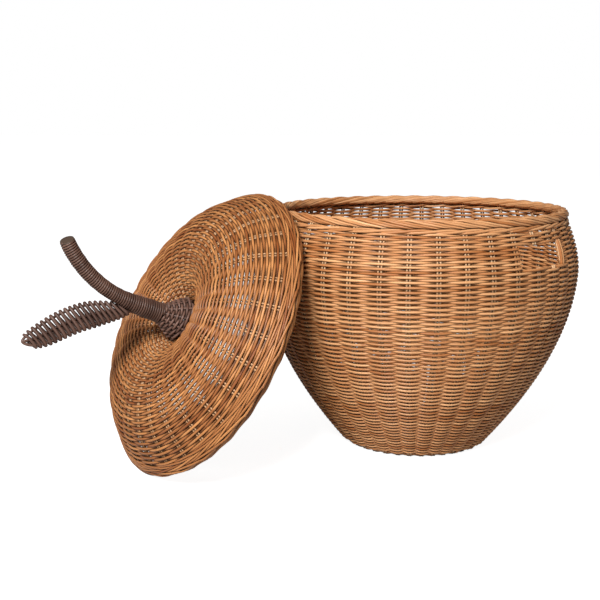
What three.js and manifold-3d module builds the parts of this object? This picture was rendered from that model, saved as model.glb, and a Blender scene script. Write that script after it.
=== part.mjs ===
// Round woven storage basket in the shape of an apple, with a loose lid that leans on it.
// The lid carries a bound stem and one open woven leaf. Millimetres, +Z up, floor at z = 0.

import * as THREE from 'three';
import { mergeVertices } from 'three/addons/utils/BufferGeometryUtils.js';
import Module from 'manifold-3d';

const wasm = await Module();
wasm.setup();

// Clearance between pieces that touch
const CLEARANCE = 0.3;

// Basket: outer outline, wall and bands
const FOOT_RADIUS = 111;
const BELLY_RADIUS = 248;
const BELLY_HEIGHT = 285;
const MOUTH_HEIGHT = 365;
const RIM_RADIUS = 215.6;
const RIM_ROLL = 9;
const ROLL_OPENING = 28;
const WALL = 8;
const FOOT_HEIGHT = 12;
const FOOT_WIDTH = 13;
const UPSETT_HEIGHT = 12;
const LOWER_BAND_TOP = 150;
const HOLE_SILL = 11.5;
const MOUTH_WALE_HEIGHT = 9;
const WALE_SWELL = 1.5;
const BASE_THICKNESS = 7;
const BASE_STICK_WIDTH = 7;
const BASE_STICK_COUNT = 8;
const BASE_STICK_THICKNESS = 5;
const HOOP_RADIUS = 4;

// Hand holes: angles from the front (-Y) towards +X, the top's drop below the mouth, and posts
const HOLE_START = 27.4;
const HOLE_END = 52.7;
const HOLE_DROP = 28.5;
const HOLE_HEIGHT = 33;
const POST_RADIUS = 3;

// Lid: dome outline, its slight ovalness and how it leans
const LID_BULGE = 12.5;
const LID_BULGE_HEIGHT = 8;
const LID_TUCK = 1.5;
const LID_SHOULDER_RADIUS = 184;
const LID_SHOULDER_HEIGHT = 53;
const LID_CREST_RADIUS = 104;
const LID_CREST_HEIGHT = 75;
const LID_FLOOR_HEIGHT = 44;
const LID_FLOOR_RADIUS = 34;
const LID_WALL = 8;
const LID_OVAL = 0.025;
const LID_OVAL_TURN = 147;
const LEAN_TILT = 60.55;
const LEAN_BEARING = 16.8;
const LEAN_TWIST = 13.0;
const LEAN_GAP = 0.5;

// Stem: a rod bound with one cane, rising from a woven socket
const STEM_ROD_RADIUS = 4.4;
const STEM_BASE_RADIUS = 7.9;
const STEM_TAPER_START = 8;
const STEM_TAPER_END = 80;
const BINDING_RADIUS = 2.7;
const BINDING_LOOPS = 24;
const BINDING_STEPS = 14;
const BINDING_SIDES = 5;
const SOCKET_BASE_RADIUS = 33;
const SOCKET_HEIGHT = 35;
const SOCKET_LEAN = 6;
const SOCKET_TOP_WALL = 0.8;
const STEM_LENGTH = 175;
const STEM_TENON = 2;
const STEM_RISE = 34.5;
const STEM_DROOP = 35;
const PLUG_LENGTH = 7;

// Leaf: a bent edge rod, a midrib and one cane wound over both edges
const LEAF_LENGTH = 150;
const LEAF_HALF_WIDTH = 15;
const LEAF_BOW = 9;
const LEAF_DROOP = 40.7;
const LEAF_ROLL = 25;
const LEAF_ROD_RADIUS = 2;
const LEAF_CANE_RADIUS = 1.5;
const LEAF_LOOPS = 22;
const LEAF_SLANT = 7;
const STALK_RADIUS = 3.0;
const STALK_PLACE = 42;
const STALK_REACH = 13;
const STALK_DROP = 4.8;

// Facets of round pieces
const AROUND = 36;
const ROLL_SIDES = 6;

const rad = THREE.MathUtils.degToRad;

const model = new THREE.Group();
const basket = new THREE.Group();
const lid = new THREE.Group();
model.add(basket, lid);

function add(group, name, geometry, color, roughness) {
  const material = new THREE.MeshStandardMaterial({ color, roughness, metalness: 0 });
  const mesh = new THREE.Mesh(geometry, material);
  mesh.name = name;
  group.add(mesh);
  return mesh;
}

const CANE = 0xb0713a;
const PALE_CANE = 0xc08850;
const DARK_CANE = 0x4a3328;
const CUT_CANE = 0x8a6a4c;

// A ring or disc turned from a section of [radius, height] points, listed anticlockwise
function turned(section) {
  const points = section.map(([radius, height]) => new THREE.Vector2(Math.max(radius, 0), height));
  const open = points[0].x > 0 || points[points.length - 1].x > 0;
  if (open) points.push(points[0].clone());
  const geometry = new THREE.LatheGeometry(points, AROUND);
  geometry.rotateX(Math.PI / 2);
  return geometry;
}

// Band of a shell that follows an outline, set in from it by a wall measured square to the outline.
// It swells outwards where it is a thick twined band, and its end stays above the seat's height.
function shellBand(outline, from, to, wall, steps, swell = 0, seat = 0) {
  const outer = [];
  const inner = [];
  for (let i = 0; i <= steps; i += 1) {
    const t = from + (to - from) * i / steps;
    const [radius, height] = outline(t);
    const [nextRadius, nextHeight] = outline(t + 1e-4);
    const along = new THREE.Vector2(nextRadius - radius, nextHeight - height).normalize();
    outer.push([radius + along.y * swell, Math.max(height - along.x * swell, seat)]);
    inner.push([radius - along.y * wall, Math.max(height + along.x * wall, seat)]);
  }
  return turned([...outer, ...inner.reverse()]);
}

// Roll round a hoop: a ring of round section with a groove that opens along the axis
function grooved(radius, height, roll, groove, side) {
  const section = [];
  const half = Math.PI - rad(ROLL_OPENING);
  for (let i = 0; i <= ROLL_SIDES; i += 1) {
    const a = -half + 2 * half * i / ROLL_SIDES;
    section.push([radius + roll * Math.sin(a), height + side * roll * Math.cos(a)]);
  }
  const steps = ROLL_SIDES - 1;
  const corner = groove / Math.cos(half / steps);
  for (let i = steps; i >= 0; i -= 1) {
    const a = -half + 2 * half * i / steps;
    section.push([radius + corner * Math.sin(a), height + side * corner * Math.cos(a)]);
  }
  return turned(side > 0 ? section.reverse() : section);
}

// Ring of round section
function hoop(radius, height, roll, sides) {
  const section = [];
  for (let i = 0; i < sides; i += 1) {
    const a = 2 * Math.PI * i / sides;
    section.push([radius + roll * Math.cos(a), height + roll * Math.sin(a)]);
  }
  return turned(section);
}

// Closed tube through points, its section carried along without twist; one radius, or one a point
function tube(points, radius, sides) {
  const radii = Array.isArray(radius) ? radius : points.map(() => radius);
  const rings = [];
  let normal = new THREE.Vector3();
  const tangents = points.map((_, i) => {
    const before = points[Math.max(i - 1, 0)];
    const after = points[Math.min(i + 1, points.length - 1)];
    return after.clone().sub(before).normalize();
  });
  const helper = Math.abs(tangents[0].z) < 0.9 ? new THREE.Vector3(0, 0, 1) : new THREE.Vector3(1, 0, 0);
  normal.crossVectors(tangents[0], helper).normalize();
  for (let i = 0; i < points.length; i += 1) {
    normal.addScaledVector(tangents[i], -normal.dot(tangents[i])).normalize();
    const binormal = new THREE.Vector3().crossVectors(tangents[i], normal);
    const ring = [];
    for (let k = 0; k < sides; k += 1) {
      const a = 2 * Math.PI * k / sides;
      const out = normal.clone().multiplyScalar(Math.cos(a)).addScaledVector(binormal, Math.sin(a));
      ring.push(points[i].clone().addScaledVector(out, radii[i]));
    }
    rings.push(ring);
  }
  const positions = rings.flat().flatMap((p) => p.toArray());
  const index = [];
  for (let i = 0; i + 1 < rings.length; i += 1) {
    for (let k = 0; k < sides; k += 1) {
      const next = (k + 1) % sides;
      const a = i * sides + k;
      const b = i * sides + next;
      index.push(a, b, a + sides, b, b + sides, a + sides);
    }
  }
  const last = (rings.length - 1) * sides;
  for (let k = 1; k + 1 < sides; k += 1) {
    index.push(0, k + 1, k);
    index.push(last, last + k, last + k + 1);
  }
  const geometry = new THREE.BufferGeometry();
  geometry.setAttribute('position', new THREE.Float32BufferAttribute(positions, 3));
  geometry.setIndex(index);
  return geometry;
}

function toSolid(geometry) {
  const bare = geometry.clone();
  bare.deleteAttribute('normal');
  bare.deleteAttribute('uv');
  const merged = mergeVertices(bare, 1e-4);
  return new wasm.Manifold(new wasm.Mesh({
    numProp: 3,
    vertProperties: new Float32Array(merged.attributes.position.array),
    triVerts: new Uint32Array(merged.index.array),
  }));
}

function toGeometry(solid) {
  const mesh = solid.getMesh();
  const geometry = new THREE.BufferGeometry();
  geometry.setAttribute('position', new THREE.BufferAttribute(mesh.vertProperties, 3));
  geometry.setIndex(new THREE.BufferAttribute(mesh.triVerts, 1));
  return geometry;
}

// Outer outline of the basket's wall: a power curve below the belly and one above it
const MOUTH_RADIUS = RIM_RADIUS + RIM_ROLL;
function wallRadius(z) {
  const below = Math.max(BELLY_HEIGHT - z, 0) / BELLY_HEIGHT;
  const above = Math.max(z - BELLY_HEIGHT, 0) / (MOUTH_HEIGHT - BELLY_HEIGHT);
  const footDrop = (BELLY_RADIUS - FOOT_RADIUS) * below ** 1.8;
  const mouthDrop = (BELLY_RADIUS - MOUTH_RADIUS) * above ** 1.7;
  return BELLY_RADIUS - footDrop - mouthDrop;
}
const wallOutline = (z) => [wallRadius(z), z];

// Foot ring with a flat underside, made of the stakes' turned-down ends
const footInner = FOOT_RADIUS - FOOT_WIDTH;
add(basket, 'foot_ring', turned([
  [footInner, 0],
  [FOOT_RADIUS, 0],
  [wallRadius(FOOT_HEIGHT / 2) + WALE_SWELL, FOOT_HEIGHT / 2],
  [wallRadius(FOOT_HEIGHT), FOOT_HEIGHT],
  [footInner, FOOT_HEIGHT],
]), CANE, 0.75);

// Base: crossed sticks under a woven disc that rests on the foot ring
const stickShape = new THREE.Shape();
const stickHalf = BASE_STICK_WIDTH / 2;
const stickReach = footInner - CLEARANCE - 0.2;
const armCount = BASE_STICK_COUNT * 2;
const armTurn = 2 * Math.PI / armCount;
const notch = stickHalf / Math.sin(armTurn / 2);
for (let i = 0; i < armCount; i += 1) {
  const a = armTurn * i;
  const tip = Math.sqrt(stickReach ** 2 - stickHalf ** 2);
  const corner = [[tip, -stickHalf], [tip, stickHalf]];
  corner.forEach(([along, across], k) => {
    const x = along * Math.cos(a) - across * Math.sin(a);
    const y = along * Math.sin(a) + across * Math.cos(a);
    if (i === 0 && k === 0) stickShape.moveTo(x, y);
    else stickShape.lineTo(x, y);
  });
  stickShape.lineTo(notch * Math.cos(a + armTurn / 2), notch * Math.sin(a + armTurn / 2));
}
const sticks = new THREE.ExtrudeGeometry(stickShape, { depth: BASE_STICK_THICKNESS, bevelEnabled: false });
sticks.translate(0, 0, FOOT_HEIGHT - BASE_STICK_THICKNESS);
add(basket, 'base_sticks', sticks, CANE, 0.75);

const baseLow = FOOT_HEIGHT + CLEARANCE;
const baseRadius = wallRadius(baseLow) - WALL - CLEARANCE - 0.5;
add(basket, 'base_weave', turned([
  [0, baseLow],
  [baseRadius, baseLow],
  [baseRadius, baseLow + BASE_THICKNESS],
  [0, baseLow + BASE_THICKNESS],
]), CANE, 0.8);

// Wall: a thick twined band at the turn, three woven bands, and a twined band under the rim
const upsettTop = baseLow + UPSETT_HEIGHT;
const rollLip = RIM_ROLL * Math.cos(rad(ROLL_OPENING));
const waleTop = MOUTH_HEIGHT - rollLip - CLEARANCE;
const waleLow = waleTop - MOUTH_WALE_HEIGHT;
const upsett = shellBand(wallOutline, baseLow, upsettTop, WALL, 2, WALE_SWELL);
const holeTop = MOUTH_HEIGHT - HOLE_DROP;
const holeLow = holeTop - HOLE_HEIGHT;
const middleTop = holeLow - HOLE_SILL;
const lowerBand = shellBand(wallOutline, upsettTop + 2 * CLEARANCE, LOWER_BAND_TOP, WALL, 5);
const middleBand = shellBand(wallOutline, LOWER_BAND_TOP + 2 * CLEARANCE, middleTop, WALL, 5);
add(basket, 'upsett_wale', upsett, PALE_CANE, 0.75);
add(basket, 'wall_weave_lower', lowerBand, CANE, 0.8);
add(basket, 'wall_weave_middle', middleBand, CANE, 0.8);

// Upper band with a hand hole on each side
const upperLow = middleTop + 2 * CLEARANCE;
let upperBand = toSolid(shellBand(wallOutline, upperLow, waleLow - 2 * CLEARANCE, WALL, 3));
const holeSides = { right: 0, left: 180 };
for (const turn of Object.values(holeSides)) {
  const start = rad(turn - 90 + HOLE_START);
  const end = rad(turn - 90 + HOLE_END);
  const wedge = new THREE.Shape();
  wedge.absarc(0, 0, BELLY_RADIUS + WALL, start, end, false);
  wedge.absarc(0, 0, RIM_RADIUS - 4 * WALL, end, start, true);
  wedge.closePath();
  const through = { depth: HOLE_HEIGHT, bevelEnabled: false, curveSegments: 3 };
  const cutter = new THREE.ExtrudeGeometry(wedge, through);
  cutter.translate(0, 0, holeLow);
  upperBand = upperBand.subtract(toSolid(cutter));
}
add(basket, 'wall_weave_upper', toGeometry(upperBand), CANE, 0.8);

// Posts: the bare stakes at both ends of each hand hole
for (const [side, turn] of Object.entries(holeSides)) {
  const low = holeLow + CLEARANCE + POST_RADIUS * 0.35;
  const high = holeTop - CLEARANCE - POST_RADIUS * 0.35;
  const inset = (POST_RADIUS + CLEARANCE + 0.2) / BELLY_RADIUS;
  const ends = { front: rad(turn - 90 + HOLE_START) + inset, back: rad(turn - 90 + HOLE_END) - inset };
  for (const [end, a] of Object.entries(ends)) {
    const points = [low, high].map((z) => {
      const r = wallRadius(z) - WALL / 2;
      return new THREE.Vector3(r * Math.cos(a), r * Math.sin(a), z);
    });
    add(basket, `${side}_handle_post_${end}`, tube(points, POST_RADIUS, 8), PALE_CANE, 0.7);
  }
}

add(basket, 'mouth_wale', turned([
  [wallRadius(waleLow) - WALL, waleLow],
  [wallRadius(waleLow) + WALE_SWELL, waleLow],
  [wallRadius(waleTop) + WALE_SWELL, waleTop],
  [RIM_RADIUS, waleTop],
]), PALE_CANE, 0.75);
const groove = HOOP_RADIUS + CLEARANCE;
add(basket, 'mouth_hoop', hoop(RIM_RADIUS, MOUTH_HEIGHT, HOOP_RADIUS, 6), CANE, 0.7);
add(basket, 'mouth_border', grooved(RIM_RADIUS, MOUTH_HEIGHT, RIM_ROLL, groove, 1), PALE_CANE, 0.7);

// Lid outline from the rim roll over the shoulder and crest, and down to the dimple's floor
const between = (a, b, share) => a + (b - a) * share;
const lidEdgeRadius = RIM_RADIUS + LID_BULGE;
const lidOutline = new THREE.SplineCurve([
  [lidEdgeRadius - LID_TUCK, 0],
  [lidEdgeRadius, LID_BULGE_HEIGHT],
  [between(lidEdgeRadius, LID_SHOULDER_RADIUS, 0.36), between(LID_BULGE_HEIGHT, LID_SHOULDER_HEIGHT, 0.41)],
  [LID_SHOULDER_RADIUS, LID_SHOULDER_HEIGHT],
  [between(LID_SHOULDER_RADIUS, LID_CREST_RADIUS, 0.5), between(LID_SHOULDER_HEIGHT, LID_CREST_HEIGHT, 0.8)],
  [LID_CREST_RADIUS, LID_CREST_HEIGHT],
  [between(LID_CREST_RADIUS, LID_FLOOR_RADIUS, 0.5), between(LID_CREST_HEIGHT, LID_FLOOR_HEIGHT, 0.28)],
  [LID_FLOOR_RADIUS, LID_FLOOR_HEIGHT],
].map(([radius, height]) => new THREE.Vector2(radius, height)));
lidOutline.arcLengthDivisions = 800;
const outlineLength = lidOutline.getLength();
const lidPoint = (s) => {
  const u = THREE.MathUtils.clamp(s / outlineLength, 0, 1);
  const p = lidOutline.getPointAt(u);
  return [p.x, p.y];
};

// Every round piece of the lid is a little oval, as hand work is
const oval = new THREE.Matrix4().makeRotationZ(rad(LID_OVAL_TURN));
oval.multiply(new THREE.Matrix4().makeScale(1 + LID_OVAL, 1 - LID_OVAL, 1));
oval.multiply(new THREE.Matrix4().makeRotationZ(rad(-LID_OVAL_TURN)));
function addRound(name, geometry, color, roughness) {
  add(lid, name, geometry.applyMatrix4(oval), color, roughness);
}

addRound('lid_hoop', hoop(RIM_RADIUS, 0, HOOP_RADIUS, 6), CANE, 0.7);
addRound('lid_border', grooved(RIM_RADIUS, 0, RIM_ROLL, groove, -1), PALE_CANE, 0.7);

// Three bands and the dimple follow the outline from their seat on the roll
const lidSeat = rollLip + CLEARANCE;
const bandNames = ['lid_wale', 'lid_weave_side', 'lid_weave_crown', 'lid_dimple_weave'];
const bandShares = [0, 0.12, 0.42, 0.74, 1];
const bandSteps = [2, 4, 5, 4];
bandNames.forEach((name, i) => {
  const from = lidSeat + (outlineLength - lidSeat) * bandShares[i] + CLEARANCE;
  const to = lidSeat + (outlineLength - lidSeat) * bandShares[i + 1] - CLEARANCE;
  const color = i === 0 ? PALE_CANE : CANE;
  addRound(name, shellBand(lidPoint, from, to, LID_WALL, bandSteps[i], 0, lidSeat), color, 0.8);
});

// Hub: the crossed ribs' disc that closes the dimple, bored for the stem's rod
const boreRadius = STEM_BASE_RADIUS + 2 * CLEARANCE;
const [endRadius, endHeight] = lidPoint(outlineLength);
const [nearRadius, nearHeight] = lidPoint(outlineLength - LID_WALL / 8);
const endSlope = new THREE.Vector2(endRadius - nearRadius, endHeight - nearHeight).normalize();
const hubLow = endHeight + endSlope.x * LID_WALL;
const hubLowRadius = endRadius - endSlope.y * LID_WALL;
add(lid, 'lid_hub', turned([
  [boreRadius, hubLow],
  [(hubLowRadius - 2 * CLEARANCE) * (1 - LID_OVAL), hubLow],
  [(endRadius - 2 * CLEARANCE) * (1 - LID_OVAL), endHeight],
  [boreRadius, endHeight],
]), CANE, 0.75);

// Socket: a twined cone on the hub that grips the stem; it leans a little as it rises
const socketLow = endHeight + CLEARANCE;
const socketTop = socketLow + SOCKET_HEIGHT;
const bindingReach = CLEARANCE + 2 * BINDING_RADIUS;
const socketShape = [[1, 0], [0.97, 0.15], [0.55, 0.5], [0.2, 0.75], [0, 1]];
const socketTopRadius = STEM_BASE_RADIUS + bindingReach + SOCKET_TOP_WALL;
const socketRadius = (share) => socketTopRadius + (SOCKET_BASE_RADIUS - socketTopRadius) * share;
const socket = turned([
  [boreRadius, socketLow],
  ...socketShape.map(([wide, high]) => [socketRadius(wide), socketLow + SOCKET_HEIGHT * high]),
  [boreRadius, socketTop],
]);
const lean = new THREE.Matrix4().makeShear(0, 0, 0, 0, 0, -SOCKET_LEAN / SOCKET_HEIGHT);
socket.translate(0, 0, -socketLow).applyMatrix4(lean).translate(0, 0, socketLow);
add(lid, 'stem_socket', socket, DARK_CANE, 0.7);

// Stem: its centreline leaves the socket square, droops a little and then curves up to its tip
const stemLine = new THREE.Curve();
stemLine.getPoint = (u, target = new THREE.Vector3()) => {
  const rise = (STEM_RISE + STEM_DROOP) * u ** 2.6 - STEM_DROOP * u ** 1.3;
  return target.set(0, rise - SOCKET_LEAN, socketTop + STEM_LENGTH * u);
};
stemLine.arcLengthDivisions = 800;
const stemArc = stemLine.getLength();
const stemAt = (s) => stemLine.getPointAt(THREE.MathUtils.clamp(s / stemArc, 0, 1));
const stemDirection = (s) => stemLine.getTangentAt(THREE.MathUtils.clamp(s / stemArc, 0, 1));

// The bundle is thick near the socket, where the leaf's stalk is bound in, and thin past it
function rodRadius(s) {
  const share = THREE.MathUtils.smoothstep(s, STEM_TAPER_START, STEM_TAPER_END);
  return THREE.MathUtils.lerp(STEM_BASE_RADIUS, STEM_ROD_RADIUS, share);
}

const plugBack = stemArc - PLUG_LENGTH;
const rodPoints = [new THREE.Vector3(0, 0, hubLow - STEM_TENON), new THREE.Vector3(0, 0, socketLow)];
const rodRadii = [STEM_BASE_RADIUS, STEM_BASE_RADIUS];
const rodSteps = 16;
for (let i = 0; i <= rodSteps; i += 1) {
  const s = (plugBack - CLEARANCE) * i / rodSteps;
  rodPoints.push(stemAt(s));
  rodRadii.push(rodRadius(s));
}
add(lid, 'stem_rod', tube(rodPoints, rodRadii, 8), DARK_CANE, 0.7);

const plugPoints = [stemAt(plugBack), stemAt(plugBack).addScaledVector(stemDirection(plugBack), PLUG_LENGTH)];
add(lid, 'stem_end_plug', tube(plugPoints, STEM_ROD_RADIUS + bindingReach, 12), CUT_CANE, 0.6);

// Binding: one cane wound round the rod, its ends straight and square to the socket and the plug
const turnRadius = (s) => rodRadius(s) + CLEARANCE + BINDING_RADIUS;
const bendLength = 2.8 * BINDING_RADIUS;
const straightRun = 2 * BINDING_RADIUS;
const bindingStart = CLEARANCE;
const bindingEnd = plugBack - CLEARANCE;
const bendAdvance = bendLength * 2 / Math.PI;
const bindingPoints = [];
let bindingPlace = bindingStart;
let bindingAngle = 0;
function placeBinding() {
  const centre = stemAt(bindingPlace);
  const direction = stemDirection(bindingPlace);
  const side = new THREE.Vector3(1, 0, 0);
  const up = new THREE.Vector3().crossVectors(direction, side);
  const reach = turnRadius(bindingPlace);
  centre.addScaledVector(up, reach * Math.cos(bindingAngle));
  centre.addScaledVector(side, reach * Math.sin(bindingAngle));
  bindingPoints.push(centre);
}
function bendBinding(from, to) {
  const steps = 5;
  const fullTurn = bendLength / turnRadius(bindingPlace);
  for (let i = 0; i < steps; i += 1) {
    const heading = from + (to - from) * (i + 0.5) / steps;
    bindingPlace += Math.cos(heading) * bendLength / steps;
    bindingAngle += Math.sin(heading) * fullTurn / steps;
    placeBinding();
  }
}
placeBinding();
bindingPlace += straightRun;
placeBinding();
bendBinding(0, Math.PI / 2);
const turnsEnd = bindingEnd - straightRun - bendAdvance;
const turnSteps = BINDING_STEPS * BINDING_LOOPS;
const stepAdvance = (turnsEnd - bindingPlace) / turnSteps;
for (let i = 0; i < turnSteps; i += 1) {
  bindingPlace += stepAdvance;
  bindingAngle += 2 * Math.PI / BINDING_STEPS;
  placeBinding();
}
bendBinding(Math.PI / 2, 0);
bindingPlace = bindingEnd;
placeBinding();
add(lid, 'stem_binding', tube(bindingPoints, BINDING_RADIUS, BINDING_SIDES), DARK_CANE, 0.6);

// Least gap of a wound tube to itself, leaving out points that lie close along the tube
function leastGap(points, radius, reach) {
  let least = Infinity;
  const lengths = [0];
  for (let i = 1; i < points.length; i += 1) {
    lengths.push(lengths[i - 1] + points[i].distanceTo(points[i - 1]));
  }
  for (let i = 0; i < points.length; i += 1) {
    for (let k = i + 1; k < points.length; k += 1) {
      if (lengths[k] - lengths[i] > reach) least = Math.min(least, points[i].distanceTo(points[k]));
    }
  }
  return least - 2 * radius;
}
const bindingGap = leastGap(bindingPoints, BINDING_RADIUS, 8 * BINDING_RADIUS);
console.log(`stem binding: ${BINDING_LOOPS} loops, least gap ${bindingGap.toFixed(2)} mm`);

// Leaf: its own directions (along, across, out of the blade) and its outline
const leafAlong = new THREE.Vector3(0, -Math.sin(rad(LEAF_DROOP)), Math.cos(rad(LEAF_DROOP)));
const leafAcross = new THREE.Vector3(0, Math.cos(rad(LEAF_DROOP)), Math.sin(rad(LEAF_DROOP)));
leafAcross.applyAxisAngle(leafAlong, rad(LEAF_ROLL));
const leafFace = new THREE.Vector3().crossVectors(leafAlong, leafAcross);
const down = new THREE.Vector3(0, -1, 0);
const stalkSeat = rodRadius(STALK_PLACE - 2 * STALK_RADIUS) + bindingReach + CLEARANCE;
const stalkStart = stemAt(STALK_PLACE).addScaledVector(down, stalkSeat);
const leafBase = stalkStart.clone().addScaledVector(down, STALK_DROP);
leafBase.z += STALK_REACH;
const halfWidth = (t) => LEAF_HALF_WIDTH * (1 - Math.abs(2 * t - 1) ** 3) ** 0.6;
const bow = (t) => LEAF_BOW * Math.sin(1.15 * Math.PI * t) * (1 - t ** 6);
function leafPoint(t, across, out) {
  const u = THREE.MathUtils.clamp(t, 0, 1);
  const p = leafBase.clone().addScaledVector(leafAlong, LEAF_LENGTH * t);
  p.addScaledVector(leafAcross, bow(u) + across);
  return p.addScaledVector(leafFace, out);
}

// Edge rod: one cane bent round the whole leaf
const edgePoints = [];
const edgeSteps = 12;
for (const side of [1, -1]) {
  for (let i = 0; i < edgeSteps; i += 1) {
    const share = (1 - Math.cos(Math.PI * i / edgeSteps)) / 2;
    const t = side > 0 ? share : 1 - share;
    edgePoints.push(leafPoint(t, side * halfWidth(t), 0));
  }
}
const edgeLine = new THREE.CatmullRomCurve3(edgePoints, true, 'centripetal');
add(lid, 'leaf_edge_rod', new THREE.TubeGeometry(edgeLine, 40, LEAF_ROD_RADIUS, 6, true), DARK_CANE, 0.65);

// Midrib between the two passes of the winding
const ribInset = (2 * LEAF_ROD_RADIUS + CLEARANCE + 0.4) / LEAF_LENGTH;
const ribPoints = [];
for (let i = 0; i <= 10; i += 1) ribPoints.push(leafPoint(ribInset + (1 - 2 * ribInset) * i / 10, 0, 0));
add(lid, 'leaf_midrib', tube(ribPoints, LEAF_ROD_RADIUS, 6), DARK_CANE, 0.65);

// Winding: one cane that passes over the face, round an edge, under the back and round the other edge
const windHeight = LEAF_ROD_RADIUS + LEAF_CANE_RADIUS + 3 * CLEARANCE;
const windFrom = 0.1;
const windTo = 0.9;
const windPoints = [];
const passSteps = 2;
const edgeTurns = 4;
const loopSteps = 2 * (passSteps + edgeTurns);
for (let i = 0; i <= LEAF_LOOPS * loopSteps; i += 1) {
  const t = windFrom + (windTo - windFrom) * i / (LEAF_LOOPS * loopSteps);
  const step = i % loopSteps;
  const back = step >= passSteps + edgeTurns;
  const local = back ? step - passSteps - edgeTurns : step;
  const sign = back ? -1 : 1;
  const onPass = local <= passSteps;
  const across = onPass ? sign * (2 * local / passSteps - 1) : sign;
  const place = t + LEAF_SLANT * across / LEAF_LENGTH;
  const angle = onPass ? 0 : Math.PI * (local - passSteps) / edgeTurns;
  const width = halfWidth(THREE.MathUtils.clamp(place, 0, 1));
  const reach = onPass ? 0 : windHeight * Math.sin(angle) * sign;
  windPoints.push(leafPoint(place, across * width + reach, sign * windHeight * Math.cos(angle)));
}
const windTail = 2 * LEAF_CANE_RADIUS;
const tailAt = (from, next) => from.clone().addScaledVector(from.clone().sub(next).normalize(), windTail);
windPoints.unshift(tailAt(windPoints[0], windPoints[1]));
windPoints.push(tailAt(windPoints[windPoints.length - 1], windPoints[windPoints.length - 2]));
add(lid, 'leaf_winding', tube(windPoints, LEAF_CANE_RADIUS, 5), DARK_CANE, 0.65);
const windGap = leastGap(windPoints, LEAF_CANE_RADIUS, 5 * windHeight);
console.log(`leaf winding: ${LEAF_LOOPS} loops, least gap ${windGap.toFixed(2)} mm`);

// Stalk: leaves the stem square to it and turns at one elbow into the leaf's direction
const stalkEnd = leafBase.clone().addScaledVector(leafAlong, -LEAF_ROD_RADIUS - CLEARANCE);
const stalkElbow = stalkStart.clone().addScaledVector(down, stalkStart.y - stalkEnd.y);
stalkElbow.lerp(stalkEnd, STALK_RADIUS / (2 * STALK_REACH));
add(lid, 'leaf_stalk', tube([stalkStart, stalkElbow, stalkEnd], STALK_RADIUS, 8), DARK_CANE, 0.7);

// The lid leans: its axis is tilted and turned, and its roll touches the floor and the basket's
// roll, or the basket's wall where the wall stands out further
const facing = rad(LEAN_BEARING + LEAN_TWIST);
const axis = new THREE.Vector3(
  -Math.cos(facing) * Math.sin(rad(LEAN_TILT)),
  -Math.sin(facing) * Math.sin(rad(LEAN_TILT)),
  Math.cos(rad(LEAN_TILT)),
);
const sideways = new THREE.Vector3(Math.sin(facing), -Math.cos(facing), 0);
const upwards = new THREE.Vector3().crossVectors(axis, sideways);
const leanTurn = new THREE.Matrix4().makeBasis(sideways, upwards, axis);
const rimPoints = [];
const rimSteps = 720;
for (let i = 0; i < rimSteps; i += 1) {
  const a = 2 * Math.PI * i / rimSteps;
  const p = new THREE.Vector3(RIM_RADIUS * Math.cos(a), RIM_RADIUS * Math.sin(a), 0);
  rimPoints.push(p.applyMatrix4(oval).applyMatrix4(leanTurn));
}
const lidHeight = RIM_ROLL - Math.min(...rimPoints.map((p) => p.z));
function lidPlace(distance) {
  const bearing = rad(LEAN_BEARING);
  return new THREE.Vector3(-distance * Math.cos(bearing), -distance * Math.sin(bearing), lidHeight);
}
function rimGap(distance) {
  const place = lidPlace(distance);
  const gaps = rimPoints.map((p) => {
    const fromAxis = Math.hypot(p.x + place.x, p.y + place.y);
    return Math.hypot(fromAxis - RIM_RADIUS, p.z + place.z - MOUTH_HEIGHT);
  });
  return Math.min(...gaps) - 2 * RIM_ROLL;
}
function wallGap(distance) {
  const place = lidPlace(distance);
  const gaps = rimPoints.map((p) => {
    const height = p.z + place.z;
    if (height > MOUTH_HEIGHT) return Infinity;
    return Math.hypot(p.x + place.x, p.y + place.y) - wallRadius(height);
  });
  return Math.min(...gaps) - RIM_ROLL;
}
const leanGap = (distance) => Math.min(rimGap(distance), wallGap(distance));
let far = 2 * BELLY_RADIUS;
while (leanGap(far - 1) > LEAN_GAP) far -= 1;
let near = far - 1;
for (let i = 0; i < 30; i += 1) {
  const middle = (near + far) / 2;
  if (leanGap(middle) > LEAN_GAP) far = middle;
  else near = middle;
}
lid.quaternion.setFromRotationMatrix(leanTurn);
lid.position.copy(lidPlace(far));

// The origin is the middle of the whole arrangement's outline on the floor
model.updateMatrixWorld(true);
const outline = new THREE.Box3().setFromObject(model, true);
const middle = outline.getCenter(new THREE.Vector3());
model.position.set(-middle.x, -middle.y, 0);
model.updateMatrixWorld(true);

export default model;
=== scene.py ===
import bpy
import numpy as np
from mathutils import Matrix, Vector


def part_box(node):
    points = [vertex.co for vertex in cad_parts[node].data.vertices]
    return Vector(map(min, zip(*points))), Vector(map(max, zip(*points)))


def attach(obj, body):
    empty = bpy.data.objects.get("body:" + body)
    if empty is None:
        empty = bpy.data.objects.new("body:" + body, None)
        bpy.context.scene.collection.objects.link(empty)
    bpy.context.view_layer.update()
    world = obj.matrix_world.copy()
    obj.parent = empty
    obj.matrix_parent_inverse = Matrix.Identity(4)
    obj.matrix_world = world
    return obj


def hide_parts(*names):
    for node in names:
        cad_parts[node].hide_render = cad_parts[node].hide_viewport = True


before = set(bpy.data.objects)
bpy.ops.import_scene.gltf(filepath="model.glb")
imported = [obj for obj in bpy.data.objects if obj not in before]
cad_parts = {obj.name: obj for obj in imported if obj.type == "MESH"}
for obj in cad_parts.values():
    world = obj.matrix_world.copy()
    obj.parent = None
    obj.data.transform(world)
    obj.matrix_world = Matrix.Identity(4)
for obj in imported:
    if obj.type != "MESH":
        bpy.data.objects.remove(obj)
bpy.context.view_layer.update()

# Every round of the basket is drawn about the upright line through the middle
# of its foot. The turn round that line is counted from the front to the right.
foot_low, foot_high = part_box("foot_ring")
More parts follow.
